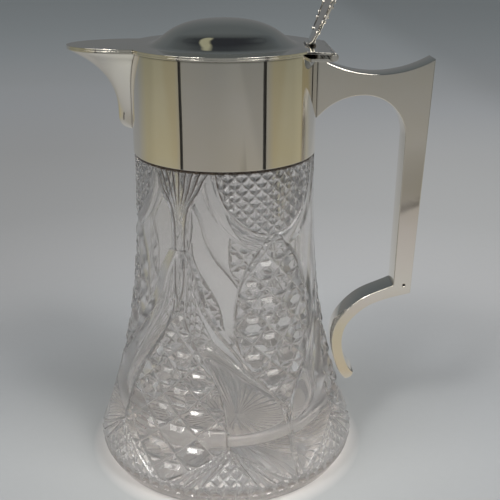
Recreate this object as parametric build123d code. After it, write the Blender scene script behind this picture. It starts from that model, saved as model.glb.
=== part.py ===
from build123d import *
import math
import os

# Silver-mounted cut-glass jug. All sizes are in millimetres.
# The origin is the centre of the base on the jug's axis, +Z is up,
# +X points to the handle and -X to the spout.

# Glass body
body_height = 155.0
girth_height = 10.9
girth_radius = 64.9
foot_radius = 61.2
foot_bulge = 0.9
foot_round = 1.2
flare_power = 2.42
glass_wall = 6.6
base_thickness = 15.0
cavity_corner = 15.0
base_dish_radius = 50.0
base_dish_depth = 1.2
neck_rise = 26.0
neck_wall = 6.1
neck_top_bevel = 0.8
flare_stations = 6

# Main cuts of the glass. A line's points are a share of the body's height,
# and degrees round the jug from the middle of the leaf, panel or fan.
cut_repeats = 3
cut_turn = -59.3
cut_width = 2.6
cut_depth = 1.3
tall_leaf = [
    (0.806, 0.0),
    (0.772, 8.3),
    (0.721, 16.5),
    (0.665, 21.9),
    (0.6, 24.8),
    (0.51, 25.2),
    (0.406, 17.8),
    (0.355, 10.0),
    (0.298, 3.75),
    (0.245, 0.0),
]
low_leaf = [
    (0.594, 0.0),
    (0.565, 4.0),
    (0.5, 9.0),
    (0.444, 15.25),
    (0.387, 21.5),
    (0.329, 26.0),
    (0.25, 28.4),
    (0.184, 28.0),
    (0.123, 14.5),
    (0.07, 0.0),
]
# Degrees of the sweep are counted from halfway between the two leaves
sweep = [
    (0.72, 23.0),
    (0.702, 21.25),
    (0.605, 15.0),
    (0.524, 5.0),
    (0.492, 0.2),
]
panel = [
    (1.01, 36.4),
    (0.948, 35.1),
    (0.897, 30.8),
    (0.845, 21.8),
    (0.819, 13.1),
    (0.806, 0.0),
]
fan = [
    (1.01, 20.8),
    (0.98, 17.1),
    (0.935, 12.0),
    (0.895, 6.5),
    (0.852, 1.5),
]
leaf_stem = [(0.25, 0.0), (0.09, 0.0)]
fan_stem = [(1.01, 0.0), (0.59, 0.0)]
lattice_width = 20.0
lattice_height = 17.0

# Silver collar and what beds it on the glass
collar_radius = 42.0
collar_height = 45.3
collar_wall = 0.9
collar_overlap = 0.3
cement_thickness = 1.0
seat_gap = 0.05
root_depth = 4.0

# Ring that covers the glass rim inside the collar
mouth_ring_thickness = 0.9
mouth_ring_skirt = 4.0
mouth_ring_play = 0.15

# Spout, a beak with a narrow tail below it
spout_tail_drop = 35.8
spout_tail_reach = 6.0
spout_lip_reach = 20.5
spout_lip_power = 3.5
spout_tail_half_width = 2.8
spout_lip_half_width = 17.5
spout_tail_round = 0.12
spout_wall = 1.0
spout_channel_drop = 13.6
spout_tail_sections = [0.01, 0.05, spout_tail_round]
spout_beak_sections = [0.28, 0.45, 0.6, 0.75, 0.88, 1.0]

# Lid, raised from one sheet
lid_gap = 0.3
lid_overhang = 1.3
lid_sheet = 0.9
lid_wire_height = 0.8
lid_wire_width = 1.6
dome_radius = 34.5
dome_rise = 11.0
dome_profile = [(0.0, 1.0), (0.23, 0.97), (0.41, 0.885), (0.58, 0.72), (0.7, 0.53), (0.8, 0.31), (0.9, 0.1)]
tongue_reach = 26.2
tongue_half_width = 19.0
bezel_depth = 4.0
bezel_wall = 0.9
bezel_play = 0.6

# Hinge behind the lid
hinge_reach = 4.8
hinge_drop = 1.0
hinge_half_width = 21.6
knuckle_radius = 1.75
knuckle_gap = 0.3
knuckle_count = 5
pin_radius = 0.75
pin_fit = 0.03
pin_head_radius = 1.2
pin_head = 0.6
leaf_thickness = 1.2
leaf_drop = 0.4
leaf_half_width = 20.0
swing_clearance = 0.3

# Thumbpiece, a pierced fan that leans back over the hinge
thumb_foot_inset = 3.5
thumb_lean = 22.7
thumb_height = 29.0
thumb_shoulder = 21.0
thumb_thickness = 1.8
thumb_foot_half_width = 5.0
thumb_crest_half_width = 14.0
thumb_foot_depth = 4.4
thumb_foot_thickness = 0.9
thumb_lobes = 5
thumb_lobe_radius = 3.6
thumb_lobe_hole = 1.3
# Height and length of each slot that pierces the fan along its two sides
thumb_slots = [(9.4, 3.6), (13.0, 1.9), (16.4, 3.2)]
thumb_slot_width = 1.6
thumb_slot_inset = 2.1

# Handle, a hollow box of four sheets
handle_width = 13.0
handle_wall = 0.9
handle_top_drop = 3.4
handle_dip_drop = 10.7
handle_corner_drop = 4.1
grip_depth = 41.0
grip_height = 93.6
grip_lean = 0.7
arm_depth_top = 11.2
arm_depth_low = 8.7
bridge_depth = 9.4
arch_drop = 10.4
arch_radius = 20.0
heel_depth = 4.3
scroll_drop = 51.7
scroll_thickness = 5.4
scroll_tip_round = 1.3
scroll_clearance = 1.0
# Side of the scroll that faces the glass: share of its drop, and of the way from the glass to the heel
scroll_stations = [
    (0.055, 0.81),
    (0.135, 0.555),
    (0.26, 0.323),
    (0.4, 0.146),
    (0.58, 0.03),
    (0.765, 0.0),
    (0.857, 0.012),
    (0.942, 0.05),
    (1.0, 0.125),
]
vent_radius = 0.6
vent_inset = 3.5

# Heights and radii that follow from the sizes above
rim_height = body_height + collar_height
collar_bore = collar_radius - collar_wall
shoulder_radius = collar_radius - collar_overlap
neck_radius = collar_bore - cement_thickness
neck_bore_radius = neck_radius - neck_wall
neck_top = body_height + neck_rise
lid_radius = collar_radius + lid_overhang
lid_bottom = rim_height + lid_gap
sheet_bottom = lid_bottom + lid_wire_height
lid_top = sheet_bottom + lid_sheet
hinge_x = collar_radius + hinge_reach
hinge_z = rim_height - hinge_drop
handle_dip_height = rim_height - handle_dip_drop
crown_height = handle_dip_height - bridge_depth
heel_height = crown_height - grip_height
inner_arm_x = collar_radius + grip_depth
inner_heel_x = inner_arm_x - grip_lean


def body_radius(height):
    """Outside radius of the glass above its widest ring."""
    drop = (body_height - height) / (body_height - girth_height)
    return shoulder_radius + (girth_radius - shoulder_radius) * drop**flare_power


def ring(outer, inner, bottom, top):
    """Plain upright ring about the jug's axis."""
    height = top - bottom
    tube = Cylinder(outer, height, align=(Align.CENTER, Align.CENTER, Align.MIN))
    bore = Cylinder(inner, height, align=(Align.CENTER, Align.CENTER, Align.MIN))
    return Pos(0, 0, bottom) * (tube - bore)


def slab(low, high):
    """Box between two opposite corners."""
    size = [b - a for a, b in zip(low, high)]
    centre = [(a + b) / 2 for a, b in zip(low, high)]
    return Pos(*centre) * Box(*size)


def hinge_rod(radius, start, end):
    """Round bar along the hinge line, from one Y to another."""
    bar = Cylinder(radius, end - start, align=(Align.CENTER, Align.CENTER, Align.MIN))
    return Pos(hinge_x, start, hinge_z) * Rot(-90, 0, 0) * bar


def side_face(*curves):
    """Face in the upright plane of the handle and spout."""
    return make_face([edge for curve in curves for edge in curve.edges()])


def flare_points(inset, low, high):
    """Points down the flare from a high station to a low one."""
    points = []
    for step in range(flare_stations + 1):
        height = high + (low - high) * step / flare_stations
        points.append((body_radius(height) - inset, 0, height))
    return points


def glass_blank():
    """Thick glass vessel with a ground neck and a slightly dished base, before it is cut."""
    outer = Spline(*flare_points(0, girth_height, body_height))
    sole = foot_radius - foot_round
    foot = ThreePointArc(
        (girth_radius, 0, girth_height),
        ((girth_radius + foot_radius) / 2 + foot_bulge, 0, (girth_height + foot_round) / 2),
        (foot_radius, 0, foot_round),
    )
    round_edge = ThreePointArc(
        (foot_radius, 0, foot_round),
        (sole + foot_round * math.sqrt(0.5), 0, foot_round * (1 - math.sqrt(0.5))),
        (sole, 0, 0),
    )
    dish_top = (0, 0, base_dish_depth)
    base = Line((sole, 0, 0), (base_dish_radius, 0, 0))
    dish = Spline((base_dish_radius, 0, 0), dish_top, tangents=[(-1, 0, 1), (-1, 0, 0)])

    corner_top = base_thickness + cavity_corner
    wall_radius = body_radius(corner_top) - glass_wall
    floor = Line(dish_top, (0, 0, base_thickness))
    inner_floor = Line((0, 0, base_thickness), (wall_radius - cavity_corner, 0, base_thickness))
    slope = body_radius(corner_top + 1) - body_radius(corner_top)
    corner = Spline(
        (wall_radius - cavity_corner, 0, base_thickness),
        (wall_radius, 0, corner_top),
        tangents=[(1, 0, 0), (slope, 0, 1)],
    )
    inner_points = flare_points(glass_wall, corner_top, body_height)[1:-1]
    inner_points.reverse()
    inner = Spline(
        (wall_radius, 0, corner_top),
        *inner_points,
        (neck_bore_radius, 0, body_height),
        tangents=[(slope, 0, 1), (0, 0, 1)],
    )
    bore = Line((neck_bore_radius, 0, body_height), (neck_bore_radius, 0, neck_top))
    rim = Polyline(
        (neck_bore_radius, 0, neck_top),
        (neck_radius - neck_top_bevel, 0, neck_top),
        (neck_radius, 0, neck_top - neck_top_bevel),
        (neck_radius, 0, body_height),
        (shoulder_radius, 0, body_height),
    )
    face = side_face(outer, foot, round_edge, base, dish, floor, inner_floor, corner, inner, bore, rim)
    return revolve(face, axis=Axis.Z)


def seen_flat(line, side):
    """Points of a cut's line as seen along the radius at its middle."""
    points = []
    for share, degrees in line:
        height = share * body_height
        across = body_radius(min(height, body_height)) * math.sin(math.radians(degrees))
        points.append((side * across, height))
    return points


def smooth_line(points):
    """Spline through points, or a plain line through two."""
    return Spline(*points) if len(points) > 2 else Line(*points)


def cut_track(points):
    """Band as wide as one cut along a line of points."""
    left, right = [], []
    for index, (across, height) in enumerate(points):
        before = points[max(index - 1, 0)]
        after = points[min(index + 1, len(points) - 1)]
        half = cut_width / 2 / math.dist(before, after)
        aside = half * (after[1] - before[1])
        up = half * (after[0] - before[0])
        left.append((across - aside, height + up))
        right.append((across + aside, height - up))
    ends = [Line(left[0], right[0]), Line(left[-1], right[-1])]
    return make_face([smooth_line(left), smooth_line(right), *ends])


def leaf_cuts(line):
    """Outline of a leaf and the two crossing families of cuts inside it."""
    right = seen_flat(line, 1)
    left = seen_flat(line, -1)
    leaf = make_face([Spline(*right), Spline(*left)])
    top, bottom = right[0][1], right[-1][1]
    reach, rise = 2 * lattice_width, 2 * lattice_height
    steps = math.ceil((top - bottom) / 2 / lattice_height) + 2
    tracks = []
    for step in range(-steps, steps + 1):
        middle = (top + bottom) / 2 + step * lattice_height
        tracks.append(cut_track([(-reach, middle - rise), (reach, middle + rise)]))
        tracks.append(cut_track([(-reach, middle + rise), (reach, middle - rise)]))
    inside = [track & leaf for track in tracks]
    return [piece for piece in inside if piece] + [cut_track(right), cut_track(left)]


def pressed_in(tracks, degrees, core):
    """Cuts of one depth from tracks laid against the glass at a bearing."""
    turn = math.radians(degrees)
    outward = (math.cos(turn), math.sin(turn), 0)
    sideways = (-math.sin(turn), math.cos(turn), 0)
    plane = Plane(origin=(0, 0, 0), x_dir=sideways, z_dir=outward)
    sketch = Sketch() + tracks
    return extrude(plane * sketch, girth_radius + cut_depth) - core


def cut_core():
    """Glass that no cut reaches, as a plain solid."""
    side = Spline(*flare_points(cut_depth, girth_height, body_height))
    top, low = side @ 0, side @ 1
    head = neck_top + cut_depth
    ends = Polyline(low, (low.X, 0, 0), (0, 0, 0), (0, 0, head), (top.X, 0, head), top)
    return revolve(side_face(side, ends), axis=Axis.Z)


def glass_body():
    """Glass vessel with its main cuts: leaves, sweeps between them, panels and fans."""
    core = cut_core()
    between = 180 / cut_repeats
    panels = [cut_track(seen_flat(panel, side)) for side in (1, -1)]
    fans = [cut_track(seen_flat(fan, side)) for side in (1, -1)]
    stems = [cut_track(seen_flat(line, 1)) for line in (leaf_stem, fan_stem)]
    cuts = [
        pressed_in(leaf_cuts(tall_leaf) + panels + stems[:1], cut_turn, core),
        pressed_in(leaf_cuts(low_leaf) + fans + stems[1:], cut_turn + between, core),
    ]
    for side in (1, -1):
        track = cut_track(seen_flat(sweep, side))
        cuts.append(pressed_in([track], cut_turn + side * between / 2, core))
    glass = glass_blank()
    for repeat in range(cut_repeats):
        for cut in cuts:
            glass -= Rot(0, 0, 2 * between * repeat) * cut
    return glass


def neck_cement():
    """Plaster bed between the ground neck and the collar."""
    return ring(collar_bore - seat_gap, neck_radius + seat_gap, body_height, neck_top)


def mouth_ring():
    """Flat ring over the glass rim with a skirt inside the neck."""
    skirt_radius = neck_bore_radius - mouth_ring_play
    plate = ring(
        collar_bore - seat_gap,
        skirt_radius - mouth_ring_thickness,
        neck_top,
        neck_top + mouth_ring_thickness,
    )
    skirt = ring(
        skirt_radius,
        skirt_radius - mouth_ring_thickness,
        neck_top - mouth_ring_skirt,
        neck_top + mouth_ring_thickness,
    )
    return plate + skirt


def spout_reach(share):
    """How far the spout's ridge stands out from the collar, share 0 at the tail and 1 at the lip."""
    close = 1 - min(share / spout_tail_round, 1)
    tail = spout_tail_reach * math.sqrt(1 - close**2)
    return tail + spout_lip_reach * share**spout_lip_power


def spout_half_width(share):
    """Half the spout's width where it meets the collar."""
    return spout_tail_half_width + (spout_lip_half_width - spout_tail_half_width) * share**2


def spout_loft(shares, inset):
    """Solid through level sections, each half an ellipse closed by a straight back."""
    sections = []
    back = -(collar_radius - root_depth)
    for share in shares:
        height = rim_height - spout_tail_drop * (1 - share)
        reach = spout_reach(share) + root_depth - inset
        half = spout_half_width(share) - inset
        arc = EllipticalCenterArc((back, 0), reach, half, start_angle=90, arc_size=180)
        chord = Line(arc @ 1, arc @ 0)
        sections.append(Pos(0, 0, height) * make_face([arc, chord]))
    return loft(sections)


def spout_channel():
    """Hollow of the spout, from its floor to above the rim."""
    floor = 1 - spout_channel_drop / spout_tail_drop
    shares = [floor + (1 - floor) * step / 3 for step in range(4)]
    above = 1 + collar_wall / spout_tail_drop
    return spout_loft(shares + [above], spout_wall)


def spout(channel):
    """Beak soldered to the front of the collar."""
    beak = spout_loft(spout_tail_sections + spout_beak_sections, 0)
    outside = Cylinder(collar_radius + seat_gap, 2 * rim_height)
    return beak - channel - outside


def collar(channel):
    """Silver sleeve round the neck, cut away behind the spout."""
    return ring(collar_radius, collar_bore, body_height, rim_height) - channel


def tab_half_width():
    """Half width of the lid's tab where it leaves the round flange."""
    return math.sqrt(lid_radius**2 - dome_radius**2)


def tab_top(x):
    """Height of the sloping top of the lid's tab."""
    end = hinge_z + knuckle_radius
    return lid_top + (end - lid_top) * (x - dome_radius) / (hinge_x - dome_radius)


def lid_outline(inset):
    """Plan of the lid without its tab, drawn in by an inset: round flange and tongue over the spout."""
    disc = Circle(lid_radius - inset)
    root = math.sqrt(lid_radius**2 - tongue_half_width**2)
    length = lid_radius + tongue_reach - root
    tongue = Pos(-root, 0) * Ellipse(length - inset, tongue_half_width - inset)
    keep = Pos(dome_radius - 2 * lid_radius, 0) * Rectangle(4 * lid_radius, 4 * lid_radius)
    return (disc + tongue) & keep


def dome_curve(drop):
    """Ogee from the crown of the dome out to the flange."""
    points = [(dome_radius * u, 0, lid_top - drop + dome_rise * v) for u, v in dome_profile]
    points.append((dome_radius, 0, lid_top - drop))
    return Spline(*points, tangents=[(1, 0, 0), (1, 0, 0)])


def lid_dome():
    """Hollow raised dome."""
    top = dome_curve(0)
    under = dome_curve(lid_sheet)
    face = side_face(top, Line(top @ 1, under @ 1), under, Line(under @ 0, top @ 0))
    return revolve(face, axis=Axis.Z)


def tab_plate(below):
    """Wide sloping plate in the line of the tab, with room added below it."""
    slope = make_face(
        Polyline(
            (dome_radius, 0, lid_top),
            (hinge_x, 0, tab_top(hinge_x)),
            (hinge_x, 0, tab_top(hinge_x) - lid_sheet - below),
            (dome_radius, 0, sheet_bottom - below),
            close=True,
        )
    )
    return extrude(slope, 2 * hinge_half_width, both=True)


def lid_tab():
    """Sloping leaf from the flange back to the hinge, cut clear of the knuckles."""
    wide = tab_half_width()
    plan = make_face(
        Polyline(
            (dome_radius, wide),
            (hinge_x, hinge_half_width),
            (hinge_x, -hinge_half_width),
            (dome_radius, -wide),
            close=True,
        )
    )
    leaf = tab_plate(0) & extrude(Pos(0, 0, hinge_z) * plan, 2 * dome_rise)
    leaf -= hinge_rod(knuckle_radius + seat_gap, -2 * wide, 2 * wide)
    for start, end in knuckle_spans(fixed=True):
        leaf -= hinge_rod(knuckle_radius + swing_clearance, start - knuckle_gap, end + knuckle_gap)
    return leaf


def lid():
    """Sheet of the lid: flange, tongue, dome and tab in one piece."""
    flange = extrude(Pos(0, 0, sheet_bottom) * lid_outline(0), lid_sheet)
    flange -= Pos(0, 0, sheet_bottom) * Cylinder(dome_radius, 4 * lid_sheet)
    return flange + lid_dome() + lid_tab()


def lid_rim_wire():
    """Flat wire that stiffens the lid's edge from below, stopping at the tab."""
    wire = extrude(Pos(0, 0, lid_bottom) * lid_outline(0), lid_wire_height)
    wire -= extrude(Pos(0, 0, lid_bottom) * lid_outline(lid_wire_width), lid_wire_height)
    reach = 2 * lid_radius
    tab_room = slab((dome_radius - lid_wire_width, -reach, 0), (reach, reach, 2 * rim_height))
    return wire - tab_room


def lid_bezel():
    """Ring under the lid that drops inside the collar."""
    outer = collar_bore - bezel_play
    band = ring(outer, outer - bezel_wall, sheet_bottom - bezel_depth, sheet_bottom)
    return band - tab_plate(seat_gap)


def knuckle_spans(fixed):
    """Start and end along Y of the knuckles on the collar or on the lid."""
    length = (2 * hinge_half_width - (knuckle_count - 1) * knuckle_gap) / knuckle_count
    spans = []
    for index in range(knuckle_count):
        start = -hinge_half_width + index * (length + knuckle_gap)
        if (index % 2 == 0) == fixed:
            spans.append((start, start + length))
    return spans


def knuckles(fixed):
    """Bored tubes of one half of the hinge."""
    pieces = []
    for start, end in knuckle_spans(fixed):
        tube = hinge_rod(knuckle_radius, start, end)
        pieces.append(tube - hinge_rod(pin_radius + pin_fit, start, end))
    return Compound(pieces)


def hinge_pin():
    """Pin through all the knuckles with a peened head at each end."""
    pin = hinge_rod(pin_radius, -hinge_half_width - seat_gap, hinge_half_width + seat_gap)
    for side in (-1, 1):
        near = side * (hinge_half_width + seat_gap)
        far = side * (hinge_half_width + seat_gap + pin_head)
        pin += hinge_rod(pin_head_radius, min(near, far), max(near, far))
    return pin


def hinge_leaf():
    """Plate on the collar that carries the fixed knuckles."""
    bottom = hinge_z - knuckle_radius - leaf_drop
    low = (0, -leaf_half_width, bottom)
    leaf = slab(low, (hinge_x, leaf_half_width, bottom + leaf_thickness))
    leaf -= Cylinder(collar_radius + seat_gap, 3 * rim_height)
    leaf -= hinge_rod(knuckle_radius + seat_gap, -2 * leaf_half_width, 2 * leaf_half_width)
    for start, end in knuckle_spans(fixed=False):
        leaf -= hinge_rod(knuckle_radius + swing_clearance, start - knuckle_gap, end + knuckle_gap)
    return leaf


def thumb_half_width(height):
    """Half width of the thumbpiece at a height up its slope."""
    widen = thumb_crest_half_width - thumb_foot_half_width
    return thumb_foot_half_width + widen * math.sin(height / thumb_shoulder * math.pi / 2)


def thumb_outline():
    """Fan with a scalloped crest, pierced by a row of slots along each side."""
    heights = [thumb_shoulder * step / flare_stations for step in range(flare_stations + 1)]
    right = Spline(*[(thumb_half_width(height), height) for height in heights])
    left = Spline(*[(-thumb_half_width(height), height) for height in heights])
    fan = make_face([right, Line(right @ 1, left @ 1), left, Line(left @ 0, right @ 0)])
    crest = thumb_crest_half_width - thumb_lobe_radius
    rise = thumb_height - thumb_shoulder - thumb_lobe_radius
    fan += Pos(0, thumb_shoulder) * Ellipse(crest, rise)
    for lobe in range(thumb_lobes):
        angle = math.pi * lobe / (thumb_lobes - 1)
        centre = Pos(crest * math.cos(angle), thumb_shoulder + rise * math.sin(angle))
        fan += centre * Circle(thumb_lobe_radius)
    for lobe in range(thumb_lobes):
        angle = math.pi * lobe / (thumb_lobes - 1)
        centre = Pos(crest * math.cos(angle), thumb_shoulder + rise * math.sin(angle))
        fan -= centre * Circle(thumb_lobe_hole)
    for height, length in thumb_slots:
        here = thumb_half_width(height) - thumb_slot_inset
        run = thumb_half_width(height + length / 2) - thumb_half_width(height - length / 2)
        lean = math.degrees(math.atan2(run, length))
        slot = Ellipse(thumb_slot_width / 2, length / 2)
        fan -= Pos(here, height) * Rot(0, 0, -lean) * slot
        fan -= Pos(-here, height) * Rot(0, 0, lean) * slot
    return fan


def thumbpiece():
    """Cast fan with a small foot that follows the slope of the tab."""
    foot_x = collar_radius - thumb_foot_inset
    lean = math.radians(thumb_lean)
    seat = tab_top(foot_x) + seat_gap
    normal = (math.cos(lean), 0, -math.sin(lean))
    plane = Plane(origin=(foot_x, 0, seat), x_dir=(0, 1, 0), z_dir=normal)
    fan = extrude(plane * thumb_outline(), thumb_thickness / 2, both=True)
    back = foot_x - thumb_foot_depth / 2
    front = foot_x + thumb_foot_depth / 2
    side = make_face(
        Polyline(
            (back, 0, tab_top(back) + seat_gap),
            (front, 0, tab_top(front) + seat_gap),
            (front, 0, tab_top(front) + seat_gap + thumb_foot_thickness),
            (back, 0, tab_top(back) + seat_gap + thumb_foot_thickness),
            close=True,
        )
    )
    foot = extrude(side, thumb_foot_half_width, both=True)
    below = make_face(
        Polyline(
            (back - thumb_foot_depth, 0, tab_top(back - thumb_foot_depth) + seat_gap),
            (front + thumb_foot_depth, 0, tab_top(front + thumb_foot_depth) + seat_gap),
            (front + thumb_foot_depth, 0, rim_height - thumb_foot_depth),
            (back - thumb_foot_depth, 0, rim_height - thumb_foot_depth),
            close=True,
        )
    )
    return fan - extrude(below, 2 * thumb_foot_half_width, both=True) + foot


def scroll_edges(inset):
    """Points down the scroll's glass side, its middle and its outer side, and its direction at the tip."""
    glass_side = [(inner_heel_x, heel_height)]
    for drop_share, swing in scroll_stations:
        height = heel_height - scroll_drop * drop_share
        near = body_radius(height) + scroll_clearance
        glass_side.append((near + (inner_heel_x - near) * swing, height))
    across = [inset, scroll_thickness / 2, scroll_thickness - inset]
    edges = [[], [], []]
    for index in range(1, len(glass_side)):
        before = glass_side[index - 1]
        after = glass_side[min(index + 1, len(glass_side) - 1)]
        length = math.dist(before, after)
        along = ((after[0] - before[0]) / length, (after[1] - before[1]) / length)
        x, z = glass_side[index]
        if index == len(glass_side) - 1:
            x -= along[0] * inset
            z -= along[1] * inset
        for edge, depth in zip(edges, across):
            edge.append((x - along[1] * depth, z + along[0] * depth))
    return (*edges, along)


def upright(points):
    """Place plan points in the upright plane."""
    return [(x, 0, z) for x, z in points]


def handle_outline(inset):
    """Side view of the handle, closed inside the collar and drawn in by an inset."""
    root_x = collar_radius - root_depth
    top_z = rim_height - handle_top_drop - inset
    corner_x = inner_arm_x + arm_depth_top - inset
    corner = (corner_x, 0, rim_height - handle_corner_drop - inset)
    dip = ((collar_radius + corner_x) / 2, 0, handle_dip_height - inset)
    heel = (inner_heel_x + arm_depth_low - inset, 0, heel_height - heel_depth + inset)
    inner_heel = (inner_heel_x + inset, 0, heel_height - inset)
    crown = (inner_arm_x - arch_radius, 0, crown_height + inset)
    arch_foot = (inner_arm_x + inset, 0, crown_height - arch_radius)
    low_root = (collar_radius, 0, crown[2] - arch_drop)

    inner, middle, outer, along = scroll_edges(inset)
    inner_scroll = Spline(inner_heel, *upright(inner))
    outer_scroll = Spline(heel, *upright(outer))
    nose_x = middle[-1][0] + along[0] * scroll_tip_round
    nose_z = middle[-1][1] + along[1] * scroll_tip_round
    tip = ThreePointArc(outer_scroll @ 1, (nose_x, 0, nose_z), inner_scroll @ 1)

    left_run = crown[0] - low_root[0]
    left_radius = (left_run**2 + arch_drop**2) / (2 * arch_drop)
    half_turn = math.asin(left_run / left_radius) / 2
    left_mid = (
        crown[0] - left_radius * math.sin(half_turn),
        0,
        crown[2] - left_radius * (1 - math.cos(half_turn)),
    )
    right_mid = (
        crown[0] + (arch_radius + inset) * math.sqrt(0.5),
        0,
        arch_foot[2] + (arch_radius + inset) * math.sqrt(0.5),
    )
    return side_face(
        Line((root_x, 0, top_z), (collar_radius, 0, top_z)),
        ThreePointArc((collar_radius, 0, top_z), dip, corner),
        Line(corner, heel),
        outer_scroll,
        tip,
        inner_scroll,
        Line(inner_heel, arch_foot),
        ThreePointArc(arch_foot, right_mid, crown),
        ThreePointArc(crown, left_mid, low_root),
        Line(low_root, (root_x, 0, low_root[2])),
        Line((root_x, 0, low_root[2]), (root_x, 0, top_z)),
    )


def handle_middle():
    """Everything outside the handle's middle line, which parts the two edge strips."""
    far = 2 * rim_height
    middle, along = scroll_edges(0)[1::2]
    past_tip = (
        middle[-1][0] + along[0] * scroll_thickness,
        middle[-1][1] + along[1] * scroll_thickness,
    )
    line = [
        (0, rim_height - handle_top_drop - bridge_depth),
        (collar_radius, rim_height - handle_top_drop - bridge_depth),
        (inner_arm_x - arch_radius, (handle_dip_height + crown_height) / 2),
        (inner_arm_x + arm_depth_top / 2, crown_height),
        (inner_heel_x + arm_depth_low / 2, heel_height - handle_wall),
        *middle,
        past_tip,
    ]
    around = [(far, past_tip[1]), (far, far), (0, far)]
    return make_face(Polyline(*upright(line + around), close=True))


def handle_cheek(side):
    """Flat side sheet of the handle; the one on the -Y side has the vent."""
    start = side * (handle_width / 2 - handle_wall)
    plate = extrude(Pos(0, start, 0) * handle_outline(0), handle_wall, dir=(0, side, 0))
    if side < 0:
        vent = Pos(inner_heel_x + arm_depth_low - vent_inset, 0, heel_height) * Rot(90, 0, 0)
        plate -= vent * Cylinder(vent_radius, 2 * handle_width)
    return plate - Cylinder(collar_radius + seat_gap, 3 * rim_height)


def handle_strips():
    """Edge sheets between the cheeks: one round the outside, one round the inside."""
    half = handle_width / 2 - handle_wall - seat_gap
    band = extrude(handle_outline(0), half, both=True) - extrude(handle_outline(handle_wall), half, both=True)
    band -= Cylinder(collar_radius + seat_gap, 3 * rim_height)
    outside = extrude(handle_middle(), handle_width, both=True)
    return band & outside, band - outside


def write(shape, node):
    """Write one node and say what it holds."""
    solids = Compound(shape.solids())
    export_step(solids, f"parts/{node}.step")
    print(node, len(solids.solids()), "solid(s)", round(solids.volume / 1000, 2), "cm3")


def main():
    os.makedirs("parts", exist_ok=True)
    channel = spout_channel()
    outer_strip, inner_strip = handle_strips()
    write(glass_body(), "glass_body")
    write(neck_cement(), "neck_cement")
    write(mouth_ring(), "mouth_ring")
    write(collar(channel), "collar")
    write(spout(channel), "spout")
    write(handle_cheek(-1), "handle_cheek_left")
    write(handle_cheek(1), "handle_cheek_right")
    write(outer_strip, "handle_outer_strip")
    write(inner_strip, "handle_inner_strip")
    write(hinge_leaf(), "hinge_leaf")
    write(knuckles(fixed=True), "hinge_fixed_knuckles")
    write(hinge_pin(), "hinge_pin")
    write(knuckles(fixed=False), "hinge_lid_knuckles")
    write(lid(), "lid")
    write(lid_rim_wire(), "lid_rim_wire")
    write(lid_bezel(), "lid_bezel")
    write(thumbpiece(), "thumbpiece")


main()
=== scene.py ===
# %% [markdown]
# # A silver-mounted cut-glass claret jug
#
# This lesson dresses a finished CAD model of a tall claret jug: a flared
# vessel of thick cut glass, a plain silver collar with a pouring lip, a
# hinged domed lid with a pierced thumbpiece, and a square silver handle.
# The CAD model gives every part its place and size. Here the cut pattern is
# ground into the glass, the handle gets its softened edges, and each
# surface gets a finish of its own. Everything is in metres, with Z up.

# %% The packed model as a fixed frame
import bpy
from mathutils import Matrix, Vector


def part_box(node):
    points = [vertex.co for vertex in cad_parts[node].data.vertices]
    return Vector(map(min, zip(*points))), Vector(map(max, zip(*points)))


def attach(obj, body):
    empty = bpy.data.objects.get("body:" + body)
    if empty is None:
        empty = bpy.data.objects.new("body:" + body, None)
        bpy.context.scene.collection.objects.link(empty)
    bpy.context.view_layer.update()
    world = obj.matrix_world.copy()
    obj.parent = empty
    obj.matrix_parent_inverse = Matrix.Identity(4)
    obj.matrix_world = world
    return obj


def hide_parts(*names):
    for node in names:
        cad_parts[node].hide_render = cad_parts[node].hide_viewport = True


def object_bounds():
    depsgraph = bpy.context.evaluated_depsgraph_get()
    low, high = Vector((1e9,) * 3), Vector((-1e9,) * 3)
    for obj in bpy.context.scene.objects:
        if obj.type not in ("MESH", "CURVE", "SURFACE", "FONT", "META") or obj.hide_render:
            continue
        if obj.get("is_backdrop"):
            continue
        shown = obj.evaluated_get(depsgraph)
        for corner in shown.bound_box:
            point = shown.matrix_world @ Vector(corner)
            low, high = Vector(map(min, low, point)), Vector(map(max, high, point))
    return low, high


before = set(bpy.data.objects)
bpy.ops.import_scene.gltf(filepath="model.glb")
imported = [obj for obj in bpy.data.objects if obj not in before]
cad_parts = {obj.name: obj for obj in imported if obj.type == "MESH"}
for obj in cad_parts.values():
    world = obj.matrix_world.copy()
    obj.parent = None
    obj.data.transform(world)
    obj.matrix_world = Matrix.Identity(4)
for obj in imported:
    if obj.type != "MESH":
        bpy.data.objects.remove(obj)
cad_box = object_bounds()
print("box of the CAD model, in metres:", [[round(v, 4) for v in c] for c in cad_box])

# %% Tools used throughout the lesson
import math

import bmesh
import bpy
import numpy as np
from mathutils import Matrix, Vector

MM = 0.001
scene = bpy.context.scene
scene.view_settings.view_transform = "Standard"
scene.cycles.max_bounces = 28
scene.cycles.glossy_bounces = 14
scene.cycles.transmission_bounces = 28
print("nodes in the frame:", sorted(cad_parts))

# %% [markdown]
# ## The camera
#
# The photograph was taken from in front and a little above, close to the
# jug, so the collar shows its round lower edge and the foot looks smaller
# than it is. A camera could be aimed with a Track To constraint, but a
# rotation built from heading, tilt and roll says exactly where it looks.

# %% A camera from a place, a heading, a tilt and a roll
def aim(heading, tilt, roll):
    """Rotation of a camera that looks along +Y, turned and tipped by degrees."""
    turn = Matrix.Rotation(math.radians(-heading), 4, "Z")
    tip = Matrix.Rotation(math.radians(90 - tilt), 4, "X")
    lean = Matrix.Rotation(math.radians(roll), 4, "Z")
    return turn @ tip @ lean


eye = bpy.data.cameras.new("eye")
eye.lens = 59.83
eye.sensor_width = 36
camera = bpy.data.objects.new("camera", eye)
scene.collection.objects.link(camera)
stands_at = Matrix.Translation((-0.0025, -0.378, 0.2513))
camera.matrix_world = stands_at @ aim(heading=2.19, tilt=21.33, roll=0.19)
scene.camera = camera
print("camera stands", round(camera.location.length, 3), "m from the middle of the foot")

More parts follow.
